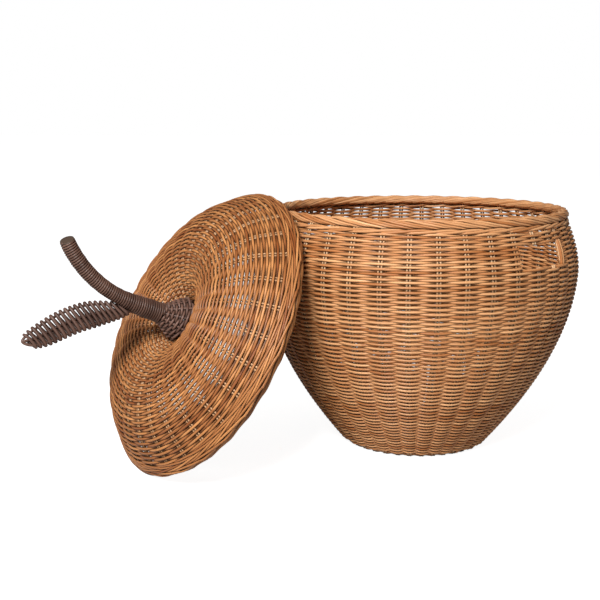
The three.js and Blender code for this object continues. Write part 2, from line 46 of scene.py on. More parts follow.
AXIS = np.array([(foot_low.x + foot_high.x) / 2, (foot_low.y + foot_high.y) / 2, 0.0])

# The photograph's view: a long lens at the height of a table, a step back
# from the basket, tipped down by ten degrees.
CAMERA_LEFT, CAMERA_BACK, CAMERA_HEIGHT = 0.18404, 1.58832, 0.50818
CAMERA_TIP = 10.143
camera_data = bpy.data.cameras.new("view")
camera_data.lens = 60.686
camera_data.sensor_width = 36.0
camera_data.sensor_fit = "HORIZONTAL"
camera = bpy.data.objects.new("view", camera_data)
camera.location = (AXIS[0] - CAMERA_LEFT, AXIS[1] - CAMERA_BACK, CAMERA_HEIGHT)
camera.rotation_euler = (np.radians(90 - CAMERA_TIP), 0.0, 0.0)
bpy.context.scene.collection.objects.link(camera)
bpy.context.scene.camera = camera
bpy.context.scene.view_settings.view_transform = "Standard"

# The floor is a wide pale sheet that runs on to the horizon. The camera sees it
# as white, and it keeps the soft shadow under the basket and the lid.
FLOOR_CORNERS = [(-30, -30, 0), (30, -30, 0), (30, 30, 0), (-30, 30, 0)]
FLOOR_GREY = (0.55, 0.55, 0.55, 1)
FLOOR_GLOW = 0.93
floor_mesh = bpy.data.meshes.new("floor")
floor_mesh.from_pydata(FLOOR_CORNERS, [], [(0, 1, 2, 3)])
floor = bpy.data.objects.new("floor", floor_mesh)
bpy.context.scene.collection.objects.link(floor)
floor_finish = bpy.data.materials.new("floor_white")
floor_finish.use_nodes = True
tree = floor_finish.node_tree
shader = tree.nodes["Principled BSDF"]
shader.inputs["Base Color"].default_value = FLOOR_GREY
shader.inputs["Roughness"].default_value = 0.9
shader.inputs["Specular IOR Level"].default_value = 0.1
shader.inputs["Emission Color"].default_value = (1, 1, 1, 1)
ray = tree.nodes.new("ShaderNodeLightPath")
seen = tree.nodes.new("ShaderNodeMath")
seen.operation = "MULTIPLY"
seen.inputs[1].default_value = FLOOR_GLOW
tree.links.new(ray.outputs["Is Camera Ray"], seen.inputs[0])
tree.links.new(seen.outputs[0], shader.inputs["Emission Strength"])
floor_mesh.materials.append(floor_finish)

# The room looks white and gives a faint even light. One broad soft lamp stands
# in front, a little high and to the left, and a weak one on the far left.
ROOM_LIGHT, ROOM_SEEN = 0.135, 1.0
room = bpy.data.worlds.new("room")
bpy.context.scene.world = room
room.use_nodes = True
tree = room.node_tree
background = tree.nodes["Background"]
ray = tree.nodes.new("ShaderNodeLightPath")
level = tree.nodes.new("ShaderNodeMapRange")
level.inputs["To Min"].default_value = ROOM_LIGHT
level.inputs["To Max"].default_value = ROOM_SEEN
tree.links.new(ray.outputs["Is Camera Ray"], level.inputs["Value"])
tree.links.new(level.outputs["Result"], background.inputs["Strength"])
background.inputs["Color"].default_value = (1, 1, 1, 1)


def soft_lamp(name, place, aim, width, watts):
    """A square soft box at a place. It tips by the angle between the way to the aim and straight
    down, and it turns by the compass angle of that way."""
    data = bpy.data.lights.new(name, "AREA")
    data.shape = "SQUARE"
    data.size = width
    data.energy = watts
    lamp = bpy.data.objects.new(name, data)
    lamp.location = place
    away = np.array(place, float) - np.array(aim, float)
    flat = np.hypot(away[0], away[1])
    lamp.rotation_euler = (np.arctan2(flat, away[2]), 0.0, np.arctan2(away[0], -away[1]))
    bpy.context.scene.collection.objects.link(lamp)


soft_lamp("lamp_front", (-0.8, -2.6, 2.35), (0.0, 0.0, 0.2), 1.0, 131)
soft_lamp("lamp_left", (-2.6, -0.6, 1.6), (-0.2, 0.0, 0.2), 1.4, 8)

# Every piece of the basket and lid is round cane, peeled and varnished. Its skin
# has fine lengthwise streaks, and each length of cane has a tone of its own. Where
# other canes come near, its colour is darkened as painted shade between them.
STREAKS = (14.0, 7.0, 1.0)  # to a metre of cane, and to a turn round it
STREAK_SHARE = 0.35  # of the tone; the rest drifts slowly along the cane
TONE_PALE, TONE_DEEP = 0.34, 0.64  # the noise at which the skin is all pale or all deep
TONE_LENGTH, TONE_SPREAD = 1.7, 0.30  # metres of one tone, and how far it strays
# Painted shade: other canes within this reach darken a cane's colour, down to the darkest share.
SHADE_REACH = 0.007  # metres within which other canes count as near
SHADE_SPAN, SHADE_DARKEST = 0.65, 0.07  # of openness, and the colour that is left at its end
GLOSS_SMOOTH, GLOSS_ROUGH = 0.36, 0.56
SKIN_RELIEF = 0.0004  # metres


def add_node(tree, kind, **values):
    """Adds a node and sets its properties and its sockets by name, with _ for a space."""
    node = tree.nodes.new(kind)
    for name, value in values.items():
        if hasattr(node, name):
            setattr(node, name, value)
        else:
            node.inputs[name.replace("_", " ")].default_value = value
    return node


skin_and_shade = bpy.data.node_groups.new("cane_skin_and_shade", "ShaderNodeTree")
for way, socket, kind in (
    ("INPUT", "Pale", "NodeSocketColor"),
    ("INPUT", "Deep", "NodeSocketColor"),
    ("INPUT", "Crevice Shade", "NodeSocketFloat"),
    ("OUTPUT", "Colour", "NodeSocketColor"),
    ("OUTPUT", "Gloss", "NodeSocketFloat"),
    ("OUTPUT", "Relief", "NodeSocketFloat"),
):
    skin_and_shade.interface.new_socket(socket, in_out=way, socket_type=kind)
given = skin_and_shade.nodes.new("NodeGroupInput")
result = skin_and_shade.nodes.new("NodeGroupOutput")
along = add_node(skin_and_shade, "ShaderNodeUVMap", uv_map="length_and_round")
stretch = add_node(skin_and_shade, "ShaderNodeMapping", Scale=STREAKS)
streak = add_node(skin_and_shade, "ShaderNodeTexNoise", Scale=1.0, Detail=3.0, Roughness=0.6)
drift_place = add_node(skin_and_shade, "ShaderNodeMapping", Scale=(1.0, 0.0, 0.0))
drift = add_node(skin_and_shade, "ShaderNodeTexNoise", Scale=3.1, Detail=2.0, Roughness=0.6)
blend = add_node(skin_and_shade, "ShaderNodeMix", data_type="FLOAT", Factor=STREAK_SHARE)
tone = add_node(skin_and_shade, "ShaderNodeMapRange", From_Min=TONE_PALE, From_Max=TONE_DEEP)
apart = add_node(skin_and_shade, "ShaderNodeSeparateXYZ")
lengths = add_node(skin_and_shade, "ShaderNodeMath", operation="DIVIDE")
lengths.inputs[1].default_value = TONE_LENGTH
whole = add_node(skin_and_shade, "ShaderNodeMath", operation="FLOOR")
chance = add_node(skin_and_shade, "ShaderNodeTexWhiteNoise", noise_dimensions="1D")
own_tone = add_node(skin_and_shade, "ShaderNodeMapRange", To_Min=-TONE_SPREAD, To_Max=TONE_SPREAD)
toned = add_node(skin_and_shade, "ShaderNodeMath", operation="ADD", use_clamp=True)
colour = add_node(skin_and_shade, "ShaderNodeMix", data_type="RGBA")
# Painted shade: ambient occlusion from nearby canes darkens the colour.
nearby = add_node(skin_and_shade, "ShaderNodeAmbientOcclusion", samples=6, Distance=SHADE_REACH)
deepest = add_node(skin_and_shade, "ShaderNodeMath", operation="SUBTRACT")
deepest.inputs[1].default_value = SHADE_SPAN
painted_shade = add_node(skin_and_shade, "ShaderNodeMapRange", To_Min=SHADE_DARKEST)
shaded_colour = add_node(skin_and_shade, "ShaderNodeVectorMath", operation="SCALE")
gloss = add_node(skin_and_shade, "ShaderNodeMapRange", To_Min=GLOSS_SMOOTH, To_Max=GLOSS_ROUGH)
for start, end in (
    (along.outputs[0], stretch.inputs["Vector"]),
    (along.outputs[0], drift_place.inputs["Vector"]),
    (stretch.outputs[0], streak.inputs["Vector"]),
    (drift_place.outputs[0], drift.inputs["Vector"]),
    (drift.outputs[0], blend.inputs["A"]),
    (streak.outputs[0], blend.inputs["B"]),
    (blend.outputs["Result"], tone.inputs["Value"]),
    (along.outputs[0], apart.inputs[0]),
    (apart.outputs[0], lengths.inputs[0]),
    (lengths.outputs[0], whole.inputs[0]),
    (whole.outputs[0], chance.inputs["W"]),
    (chance.outputs["Value"], own_tone.inputs["Value"]),
    (tone.outputs["Result"], toned.inputs[0]),
    (own_tone.outputs["Result"], toned.inputs[1]),
    (toned.outputs[0], colour.inputs["Factor"]),
    (given.outputs["Pale"], colour.inputs["A"]),
    (given.outputs["Deep"], colour.inputs["B"]),
    (nearby.outputs["AO"], painted_shade.inputs["Value"]),
    (given.outputs["Crevice Shade"], painted_shade.inputs["From Max"]),
    (given.outputs["Crevice Shade"], deepest.inputs[0]),
    (deepest.outputs[0], painted_shade.inputs["From Min"]),
    (colour.outputs["Result"], shaded_colour.inputs[0]),
    (painted_shade.outputs["Result"], shaded_colour.inputs["Scale"]),
    (streak.outputs[0], gloss.inputs["Value"]),
    (shaded_colour.outputs[0], result.inputs["Colour"]),
    (gloss.outputs["Result"], result.inputs["Gloss"]),
    (streak.outputs[0], result.inputs["Relief"]),
):
    skin_and_shade.links.new(start, end)


def cane_finish(name, pale, deep, crevice_shade, relief=0.5):
    """Varnished cane whose colour runs from pale to deep with the streaks of its skin. The crevice
    shade is how open to the air the skin has to be to keep its full colour; less open skin is
    darkened as painted shade."""
    finish = bpy.data.materials.new(name)
    finish.use_nodes = True
    tree = finish.node_tree
    shader = tree.nodes["Principled BSDF"]
    skin = tree.nodes.new("ShaderNodeGroup")
    skin.node_tree = skin_and_shade
    skin.inputs["Pale"].default_value = (*pale, 1)
    skin.inputs["Deep"].default_value = (*deep, 1)
    skin.inputs["Crevice Shade"].default_value = crevice_shade
    bump = tree.nodes.new("ShaderNodeBump")
    bump.inputs["Strength"].default_value = relief
    bump.inputs["Distance"].default_value = SKIN_RELIEF
    tree.links.new(skin.outputs["Colour"], shader.inputs["Base Color"])
    tree.links.new(skin.outputs["Gloss"], shader.inputs["Roughness"])
    tree.links.new(skin.outputs["Relief"], bump.inputs["Height"])
    tree.links.new(bump.outputs["Normal"], shader.inputs["Normal"])
    shader.inputs["Specular IOR Level"].default_value = 0.34
    shader.inputs["Coat Weight"].default_value = 0.12
    shader.inputs["Coat Roughness"].default_value = 0.28
    return finish


# The stakes are pairs of upright canes, thirty-nine pairs of them, which curve up
# from the base to the rim. They carry the whole wall.
CANE, STAKE = 0.00198, 0.00165
SWING, PROUD = 0.0026, 0.0017
FOOT, BELLY, MOUTH = 0.111, 0.248, 0.2246
BELLY_HEIGHT, MOUTH_HEIGHT = 0.285, 0.365
PAIRS, PAIR_GAP, PAIR_SHARE = 39, 0.0021, 0.2
# The stake cane is coloured paler than the weavers, as a painted highlight on the stakes that show
# between them.
highlit_stake_cane = cane_finish("highlit_stake_cane", (0.95, 0.66, 0.40), (0.78, 0.44, 0.22), 0.72)


def inset_outline(radius, height, depth):
    """A table of an outline moved inwards by a depth along its normal, which is its direction
    turned by a right angle: radius, height, the outline's length, and its outward normal."""
    step = np.gradient(np.stack([radius, height], 1), axis=0)
    step /= np.linalg.norm(step, axis=1)[:, None]
    normal = np.stack([step[:, 1], -step[:, 0]], 1)
    radius, height = radius - depth * normal[:, 0], height - depth * normal[:, 1]
    steps = np.hypot(np.diff(radius), np.diff(height))
    length = np.concatenate([[0.0], np.cumsum(steps)])
    return {"radius": radius, "height": height, "length": length, "normal": normal}


def wall_outline():
    """The wall's mid-line: the belly's radius, less one power curve below the belly and another
    above it, set in by a swing and a cane, less what the weave's crests stand proud."""
    height = np.linspace(0.0, MOUTH_HEIGHT, 500)
    below = np.clip((BELLY_HEIGHT - height) / BELLY_HEIGHT, 0, None)
    above = np.clip((height - BELLY_HEIGHT) / (MOUTH_HEIGHT - BELLY_HEIGHT), 0, None)
    radius = BELLY - (BELLY - FOOT) * below ** 1.8 - (BELLY - MOUTH) * above ** 1.7
    return inset_outline(radius, height, SWING + CANE - PROUD)


def on_round(outline, length, turn, lift):
    """Points of a turned outline at a length along it, lifted along its normal, and turned from
    the front towards the right: radius times sine and minus cosine. Gives their normals too."""
    radius = np.interp(length, outline["length"], outline["radius"])
    height = np.interp(length, outline["length"], outline["height"])
    out = np.interp(length, outline["length"], outline["normal"][:, 0])
    up = np.interp(length, outline["length"], outline["normal"][:, 1])
    side, front = np.sin(turn), -np.cos(turn)
    reach = radius + lift * out
    points = np.stack([reach * side, reach * front, height + lift * up], 1)
    normals = np.stack([out * side, out * front, up], 1)
    return points, normals


def cane_rods(name, paths, finish, sides=6, closed=False):
    """One mesh of round canes. Each path gives points, normals and radii, and the ring round a
    point is the point plus the radius times cosine and sine of the ring's angle, along the normal
    and the cross direction. The UV map runs in metres along the cane and once round it, and every
    cane starts at a place of its own, so that it gets a tone of its own."""
    next_cane = 7.31
    angle = 2 * np.pi * (np.arange(sides) + 0.5) / sides
    cosine, sine = np.cos(angle)[None, :, None], np.sin(angle)[None, :, None]
    side = np.arange(sides)[None]
    beside = (side + 1) % sides
    corners, loops, starts, uvs = [], [], [], []
    base = loop_count = 0
    for number, (points, normals, radius) in enumerate(paths):
        count = len(points)
        if closed:
            tangent = np.roll(points, -1, 0) - np.roll(points, 1, 0)
        else:
            tangent = np.gradient(points, axis=0)
        tangent /= np.linalg.norm(tangent, axis=1)[:, None]
        normals = normals - tangent * np.sum(tangent * normals, 1)[:, None]
        normals /= np.linalg.norm(normals, axis=1)[:, None]
        cross = np.cross(tangent, normals)
        radius = np.broadcast_to(np.asarray(radius, float), (count,))[:, None, None]
        ring = normals[:, None] * cosine + cross[:, None] * sine
        corners.append((points[:, None] + radius * ring).reshape(-1, 3))
        spans = count if closed else count - 1
        row = np.arange(spans)[:, None]
        here, ahead = row * sides, (row + 1) % count * sides
        quads = np.stack([here + side, here + beside, ahead + beside, ahead + side], -1)
        loops.append(base + quads.reshape(-1))
        starts.append(loop_count + 4 * np.arange(spans * sides))
        loop_count += 4 * spans * sides
        steps = np.linalg.norm(np.diff(points, axis=0), axis=1)
        reach = np.concatenate([[0.0], np.cumsum(steps)])
        last_step = np.linalg.norm(points[0] - points[-1])
        reach = np.append(reach, reach[-1] + last_step) + next_cane * number
        near, far = (np.broadcast_to(reach[place], (spans, sides)) for place in (row, row + 1))
        low, high = (np.broadcast_to(place / sides, (spans, sides)) for place in (side, side + 1))
        uvs.append(np.stack([near, low, near, high, far, high, far, low], -1).reshape(-1))
        if not closed:
            first_end, last_end = np.arange(sides)[::-1], (count - 1) * sides + np.arange(sides)
            loops.append(base + np.concatenate([first_end, last_end]))
            starts.append(loop_count + np.array([0, sides]))
            loop_count += 2 * sides
            uvs.append(np.tile([reach[0], 0.5], 2 * sides))
        base += count * sides
    corners, loops = np.concatenate(corners) + AXIS, np.concatenate(loops)
    starts, uvs = np.concatenate(starts), np.concatenate(uvs)
    mesh = bpy.data.meshes.new(name)
    mesh.vertices.add(len(corners))
    mesh.vertices.foreach_set("co", corners.reshape(-1).astype(np.float32))
    mesh.loops.add(len(loops))
    mesh.loops.foreach_set("vertex_index", loops.astype(np.int32))
    mesh.polygons.add(len(starts))
    mesh.polygons.foreach_set("loop_start", starts.astype(np.int32))
    mesh.update(calc_edges=True)
    mesh.validate()
    mesh.polygons.foreach_set("use_smooth", np.ones(len(starts), bool))
    uv_map = mesh.uv_layers.new(name="length_and_round")
    uv_map.data.foreach_set("uv", uvs.astype(np.float32))
    mesh.materials.append(finish)
    piece = bpy.data.objects.new(name, mesh)
    bpy.context.scene.collection.objects.link(piece)
    return piece


WALL = wall_outline()
WALL_TOP = WALL["length"][-1]

# The pairs don't stand at quite even steps: at one end of each hand hole two of
# them stand closer. These are the turns of some pairs, in degrees.
PAIR_MARKS = [0, 1, 2, 3, 20, 21, 22, 23, 32, 33, 34, 35, 36, 37, 38, 39]
TURN_MARKS = np.radians([
    28.2, 37.5, 46.0, 51.9, 208.2, 217.5, 226.0, 231.9,
    321.6, 331.4, 341.8, 351.1, 360.7, 370.0, 379.0, 388.2,
])
SILL_HEIGHT, LINTEL_HEIGHT = 0.3035, 0.3365
CUT_PAIRS = (1, 2, 21, 22)
END_TUCK = 0.0008  # how far a cut stake's end runs into the hand hole


def wall_length(height):
    """The length up the wall's outline at which it reaches a height."""
    return float(np.interp(height, WALL["height"], WALL["length"]))


def pair_turn(pair):
    """The turn of a pair, counted from the front end of the right hand hole: straight lines
    between the marks, repeated after every whole round."""
    rounds = np.floor(pair / PAIRS)
    return np.interp(pair - rounds * PAIRS, PAIR_MARKS, TURN_MARKS) + 2 * np.pi * rounds


def pair_gap(radius, pairs, share):
    """Half the distance between the two canes of a pair: a fixed gap, or a share of the room that
    a pair has on a circle of this radius where that is less."""
    return np.minimum(PAIR_GAP, share * 2 * np.pi * radius / pairs)


HOLE_LOW, HOLE_TOP = wall_length(SILL_HEIGHT), wall_length(LINTEL_HEIGHT)
stake_paths = []
for pair in range(PAIRS):
    cut = pair in CUT_PAIRS
    spans = [(0.0, WALL_TOP)]
    if cut:
        spans = [(0.0, HOLE_LOW + END_TUCK), (HOLE_TOP - END_TUCK, WALL_TOP)]
    for low, high in spans:
        for side in (-1, 1):
            length = np.linspace(low, high, 24 if cut else 40)
            radius = np.interp(length, WALL["length"], WALL["radius"])
            gap = pair_gap(radius, PAIRS, PAIR_SHARE)
            turn = pair_turn(float(pair)) + side * gap / radius
            stake_paths.append(on_round(WALL, length, turn, 0.0) + (STAKE,))
stakes = cane_rods("stakes", stake_paths, highlit_stake_cane)
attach(stakes, "basket")

# The wall is plain randing: one cane runs round and round, in front of one pair
# and behind the next. The number of pairs is odd, so each round does the opposite.
ROW, STEPS = 0.0034, 8
SILL_GAP, FIRST_ROW = 0.0022, 0.004
SILL_ROW = int((HOLE_LOW - SILL_GAP - FIRST_ROW) / ROW)
WEAVE_LOW = HOLE_LOW - SILL_GAP - ROW * SILL_ROW
LOWER_TOP, MIDDLE_TOP, UPPER_TOP = 0.150, 0.292, 0.3555
CANE_PAIRS = 61.0
WALL_WANDER, WALL_SQUEEZE = 0.00045, 0.10
basket_cane = cane_finish("basket_cane", (0.91, 0.48, 0.215), (0.48, 0.166, 0.045), 0.78)


def bent_over(pair):
    """How far out a weaver lies at a place counted in pairs: a cosine with slightly flattened
    tops, 1 in front of a pair and -1 behind one."""
    wave = np.cos(np.pi * pair)
    return wave * (1.1 - 0.1 * wave ** 2)


def wander(row, seed, size):
    """How far a row strays from its level: three sines of the turn, whose phases drift slowly
    from row to row, so that neighbouring rows stray together."""
    phase = np.random.default_rng(seed).uniform(0, 2 * np.pi, 3)
    turn = 2 * np.pi * row
    waves = np.sin(2 * turn + phase[0] + 0.11 * row) + np.sin(5 * turn + phase[1] - 0.17 * row)
    return size * (waves + np.sin(11 * turn + phase[2] + 0.23 * row)) / 2


def tapered(place, radius, wave, squeeze):
    """The radius along a weaver: every cane is 61 pairs long and falls evenly from 1.04 to 0.96
    times the radius, and it is squeezed wider by a share where its wave dips behind a pair."""
    along = np.mod(place / CANE_PAIRS, 1.0)
    return radius * (1.04 - 0.08 * along) * (1 + squeeze * (1 - wave) / 2)


def wall_weaver(row, pair, lift):
    """A weaver through the wall: the row number gives its length up the outline, the pair gives
    its turn, and the lift gives how far it stands out."""
    length = WEAVE_LOW + ROW * row + wander(row, 1, WALL_WANDER)
    points, normals = on_round(WALL, length, pair_turn(pair), lift)
    return points, normals, tapered(row * PAIRS, CANE, lift / SWING, WALL_SQUEEZE)


def rounds_of_wall(first, last):
    """Row, pair and lift of a cane that goes round from one row to another: the row is the
    number of pairs passed over the pairs in a round."""
    pair = np.linspace(first * PAIRS, last * PAIRS, (last - first) * PAIRS * STEPS + 1)
    return pair / PAIRS, pair, SWING * bent_over(pair)


low_rows = int((wall_length(LOWER_TOP) - WEAVE_LOW) / ROW)
middle_rows = int((wall_length(MIDDLE_TOP) - WEAVE_LOW) / ROW)
lower_path = wall_weaver(*rounds_of_wall(0, low_rows))
middle_path = wall_weaver(*rounds_of_wall(low_rows, middle_rows))
lower_weave = cane_rods("wall_weave_lower_canes", [lower_path], basket_cane)
middle_weave = cane_rods("wall_weave_middle_canes", [middle_path], basket_cane)
for weave, nodes in (
    (lower_weave, ("upsett_wale", "wall_weave_lower")),
    (middle_weave, ("wall_weave_middle",)),
):
    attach(weave, "basket")
    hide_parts(*nodes)

# Beside the hand holes the weavers turn back at the end pairs. On the left of
# each hole they loop round the pair, and on the right they hide behind it.
BESIDE_ROWS = 10
LOOPED, TUCKED = 0.15, -0.05  # how many pairs a turn bulges past the end pair
HIDDEN, HIDDEN_PAIRS = 0.7, 0.7  # swings behind the bare pair, and along how many pairs
BEND = np.linspace(0, np.pi, 8)[1:-1]


def to_and_fro(bare, wrapped, first_row, start):
    """Row, pair and lift of a weaver that goes to and fro between two end pairs: runs from pair
    to pair, joined by half circles that bulge past the end pair, one row higher each time. Near
    the bare pair it stays behind."""
    legs = []
    for number in range(BESIDE_ROWS):
        pair = np.linspace(bare, wrapped, (wrapped - bare) * STEPS + 1)
        pair = pair if (number + start) % 2 else pair[::-1]
        near = np.clip(1 - (pair - bare) / HIDDEN_PAIRS, 0, 1)
        row = first_row + number
        lift = SWING * (bent_over(pair + row) * (1 - near) - HIDDEN * near)
        if legs:
            old_row, old_pair, old_lift = (values[-1] for values in legs[-1])
            bulge = LOOPED if old_pair == wrapped else TUCKED
            middle, half = (old_lift + lift[0]) / 2, (old_lift - lift[0]) / 2
            turned_pair = pair[0] + bulge * np.sin(BEND)
            legs.append((old_row + BEND / np.pi, turned_pair, middle + half * np.cos(BEND)))
        legs.append((row + pair / PAIRS, pair, lift))
    return [np.concatenate(parts) for parts in zip(*legs)]


top_rows = int((wall_length(UPPER_TOP) - CANE - WEAVE_LOW) / ROW)
beside_left = to_and_fro(23, PAIRS, SILL_ROW + 1, 0)
first_turned = PAIRS + LOOPED * np.sin(BEND)
turn_back = (SILL_ROW + 1 + BEND / np.pi, first_turned, -beside_left[2][0] * np.cos(BEND))
below_hole = rounds_of_wall(middle_rows, SILL_ROW + 1)
above_hole = rounds_of_wall(SILL_ROW + 1 + BESIDE_ROWS, top_rows)
through = [np.concatenate(parts) for parts in zip(below_hole, turn_back, beside_left, above_hole)]
upper_paths = [wall_weaver(*through), wall_weaver(*to_and_fro(3, 20, SILL_ROW + 1, 1))]
upper_weave = cane_rods("wall_weave_upper_canes", upper_paths, basket_cane)
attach(upper_weave, "basket")
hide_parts("wall_weave_upper")

# The pairs at the ends of the hand holes are the bare posts of the holes. On the
# right of each hole two stouter canes stand in front of the weave.
BARE_POST, STOUT_POST, STOUT_LIFT = 0.0018, 0.0022, 0.0022
POST_GAP = 0.0022 / 0.24
POST_RUN = 0.004  # how far a post runs on into the weave at both ends
post_paths = []
for pair, lift, radius in (
    (0, 0.0, BARE_POST),
    (3, STOUT_LIFT, STOUT_POST),
    (20, 0.0, BARE_POST),
    (23, STOUT_LIFT, STOUT_POST),
):
    for side in (-1, 1):
        length = np.linspace(HOLE_LOW - POST_RUN, HOLE_TOP + POST_RUN, 14)
        rise = lift * np.sin(np.linspace(0, np.pi, 14)) ** 0.6
        turn = pair_turn(float(pair)) + side * POST_GAP + np.linspace(-1, 2, 14) * lift
        post_paths.append(on_round(WALL, length, turn, rise) + (radius,))
posts = cane_rods("hand_hole_posts", post_paths, basket_cane, sides=8)
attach(posts, "basket")
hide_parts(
    "right_handle_post_front",
    "right_handle_post_back",
    "left_handle_post_front",
    "left_handle_post_back",
)

# Under the rim one rope row locks the weave: three stouter canes twist round the
# stakes, each in front of two pairs and behind the third.
ROPE, ROPE_RISE, ROPE_LIFT, ROPE_HEIGHT = 0.0022, 0.0019, 0.0033, 0.3567
border_cane = cane_finish("border_cane", (0.92, 0.50, 0.235), (0.49, 0.175, 0.050), 0.74)


def rope_lines(pairs, hand, start):
    """Pair, rise and lift of the three canes of a rope row. Each rises and falls by the sine of
    its turn, and its lift is a cosine raised by a half and flattened by a hyperbolic tangent, so
    that it is positive for two thirds of the turn. A whole number of turns fits the round."""
    pair = np.linspace(0, pairs, pairs * STEPS, endpoint=False)
    for strand in range(3):
        turn = 2 * np.pi * (pair * round(pairs / 3) / pairs + strand / 3) + start
        lift = ROPE_LIFT * np.tanh(1.6 * (np.cos(turn) + 0.5)) / np.tanh(2.4)
        yield pair, hand * ROPE_RISE * np.sin(turn), lift


rope_paths = []
for pair, rise, lift in rope_lines(PAIRS, 1, 0.4):
    rope_length = wall_length(ROPE_HEIGHT) + rise
    rope_paths.append(on_round(WALL, rope_length, pair_turn(pair), lift) + (ROPE,))
mouth_rope = cane_rods("mouth_rope", rope_paths, border_cane, closed=True)
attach(mouth_rope, "basket")
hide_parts("mouth_wale")

# The rim is a rolled border. At every pair two canes leave the top of the rim,
# one bundle down its outside and one down its inside, round a hidden hoop.
RIM_RADIUS, RIM_HEIGHT, RIM_ASIDE = 0.2195, 0.3655, 0.0028
ROLL_SWEEPS, ROLL_SPAN, ROLL_REACH = ((120, -66), (58, 205)), 3.1, (0.0046, 0.0068)
ROLL_CANE, ROLL_HOOP = 0.0020, 0.0050
TWIN, RIPPLE = 0.40, 0.0007


def ring_about(radius, height, aside=0.0):
    """A level circle as a function of the turn: radius times sine and minus cosine, set aside to
    the right, with its outward and upward axes."""

    def centre(turn):
        out = np.stack([np.sin(turn), -np.cos(turn), 0 * turn], 1)
        points = radius * out + [aside, 0, height]
        return points, out, np.broadcast_to([0.0, 0.0, 1.0], points.shape)

    return centre


def rolled_canes(centre, pairs, sweeps, span, reach, radius):
    """Canes of a rolled border. From its pair each cane runs forward by a span of pairs while its
    angle in the roll sweeps from a first to a last value. Its distance from the middle swells by
    a sine of a power of its share, so it stands out most soon after its start, and it swells and
    sinks once more in every pair."""
    share = np.linspace(0, 1, 28)
    swell = reach[0] + (reach[1] - reach[0]) * np.sin(np.pi * share ** 0.6)
    paths = []
    for pair in range(pairs):
        for first, last in sweeps:
            for beside in (0.0, TWIN):
                place = pair + beside + span * share
                distance = swell + RIPPLE * np.cos(2 * np.pi * place)
                points, out, up = centre(2 * np.pi * place / pairs)
                roll = np.radians(first + (last - first) * share)[:, None]
                away = out * np.cos(roll) + up * np.sin(roll)
                paths.append((points + distance[:, None] * away, away, radius))
    return paths


def hidden_hoop(centre, radius):
    """A closed ring of rod along the middle of a border, 160 even steps of the turn."""
    points, out, _ = centre(2 * np.pi * np.arange(160) / 160)
    return [(points, out, radius)]


RIM = ring_about(RIM_RADIUS, RIM_HEIGHT, RIM_ASIDE)
rim_paths = rolled_canes(RIM, PAIRS, ROLL_SWEEPS, ROLL_SPAN, ROLL_REACH, ROLL_CANE)
rim_roll = cane_rods("rim_roll", rim_paths, border_cane)
rim_hoop = cane_rods("rim_hoop", hidden_hoop(RIM, ROLL_HOOP), border_cane, sides=8, closed=True)
for piece, node in ((rim_roll, "mouth_border"), (rim_hoop, "mouth_hoop")):
    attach(piece, "basket")
    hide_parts(node)

# The stakes' lower ends are laid down into a thin border that the basket stands
# on, each slanting under the next.
FOOT_RING = ring_about(0.1065, 0.0062)
FOOT_SWEEPS, FOOT_SPAN, FOOT_REACH = ((70, -100), (110, 260)), 2.2, (0.0034, 0.0043)
FOOT_CANE, FOOT_HOOP = 0.0017, 0.0036
foot_paths = rolled_canes(FOOT_RING, PAIRS, FOOT_SWEEPS, FOOT_SPAN, FOOT_REACH, FOOT_CANE)
foot_paths += hidden_hoop(FOOT_RING, FOOT_HOOP)
foot_border = cane_rods("foot_border_canes", foot_paths, border_cane)
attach(foot_border, "basket")
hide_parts("foot_ring")

# The base is a round of sticks laid like spokes, with a thinner weaver round
# them to the foot. In the middle it goes over and under three sticks at a time.
BASE_HEIGHT, BASE_CANE, BASE_SWING = 0.010, 0.0016, 0.0026
STICKS, KNOT_GROUPS, KNOT_ROUNDS = 33, 11, 6
KNOT_START, KNOT_ROW = 0.006, 0.0032
BASE_START, BASE_END = 0.026, 0.108
STICK_START, STICK_END, STICK_THIN, STICK_THICK = 0.004, 0.109, 0.0006, 0.0014


def flat_disc(inner, outer, height, count):
    """An outline for on_round that is a level line: the radius is the length, and up is out."""
    reach = np.linspace(inner, outer, count)
    normal = np.tile([0.0, 1.0], (count, 1))
    return {"radius": reach, "height": np.full(count, height), "length": reach, "normal": normal}


def spiral(start, row, spokes, rounds, swing, steps=STEPS):
    """Length, turn and lift of a weaver that winds over spokes: the length grows by one row in
    each round, and the lift is the weave's wave, counted in spokes."""
    spoke = np.linspace(0, rounds * spokes, int(rounds * spokes * steps) + 1)
    return start + row * spoke / spokes, 2 * np.pi * spoke / spokes, swing * bent_over(spoke)


disc = flat_disc(0.002, 0.112, BASE_HEIGHT, 60)
base_rounds = (BASE_END - BASE_START) / ROW
base_turns = on_round(disc, *spiral(BASE_START, ROW, STICKS, base_rounds, BASE_SWING))
knot_turns = on_round(
    disc, *spiral(KNOT_START, KNOT_ROW, KNOT_GROUPS, KNOT_ROUNDS, BASE_SWING, steps=16)
)
base_paths = [base_turns + (BASE_CANE,), knot_turns + (BASE_CANE,)]
base_weave = cane_rods("base_weave_canes", base_paths, basket_cane)
stick_paths = []
for number in range(STICKS):
    turn = 2 * np.pi * number / STICKS
    stick = on_round(disc, np.linspace(STICK_START, STICK_END, 8), turn, 0.0)
    stick_paths.append(stick + (np.linspace(STICK_THIN, STICK_THICK, 8),))
base_sticks = cane_rods("base_stick_canes", stick_paths, highlit_stake_cane)
for piece, node in ((base_weave, "base_weave"), (base_sticks, "base_sticks")):
    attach(piece, "basket")
    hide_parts(node)

